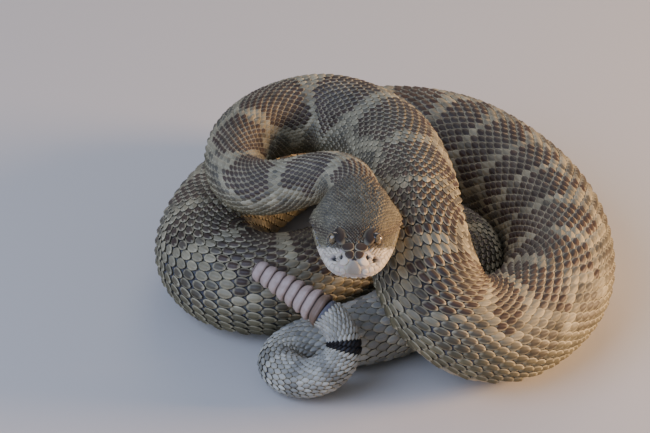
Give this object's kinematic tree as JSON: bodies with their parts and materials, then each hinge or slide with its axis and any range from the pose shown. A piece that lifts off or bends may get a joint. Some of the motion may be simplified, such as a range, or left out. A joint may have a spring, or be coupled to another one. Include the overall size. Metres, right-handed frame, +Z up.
{
  "type": "western diamondback rattlesnake",
  "caption": "Coiled adult rattlesnake with its neck drawn back in an S, head low towards the viewer and rattle raised beside the front coil.",
  "frame": {"origin": "on the floor, at the middle of the coil's footprint", "axes": "+Z up, the head looks along -Y, +X to the snake's left"},
  "size_m": [0.2005, 0.2253, 0.0922],
  "materials": {
    "skin": "dry keeled scales",
    "tail_skin": "dry pale scales",
    "eye": "wet gloss",
    "horn": "dry horn"
  },
  "bodies": {
    "root": {"head": "skin", "lower_jaw": "skin", "eye_left": "eye", "eye_right": "eye", "neck": "skin", "body_1": "skin", "body_2": "skin", "body_3": "skin", "body_4": "skin", "body_5": "skin", "body_6": "skin", "body_7": "skin", "body_8": "skin", "body_9": "skin", "body_10": "skin", "body_11": "skin", "body_12": "skin", "tail_base": "skin", "tail_end": "tail_skin", "rattle": "horn"}
  },
  "joints": []
}
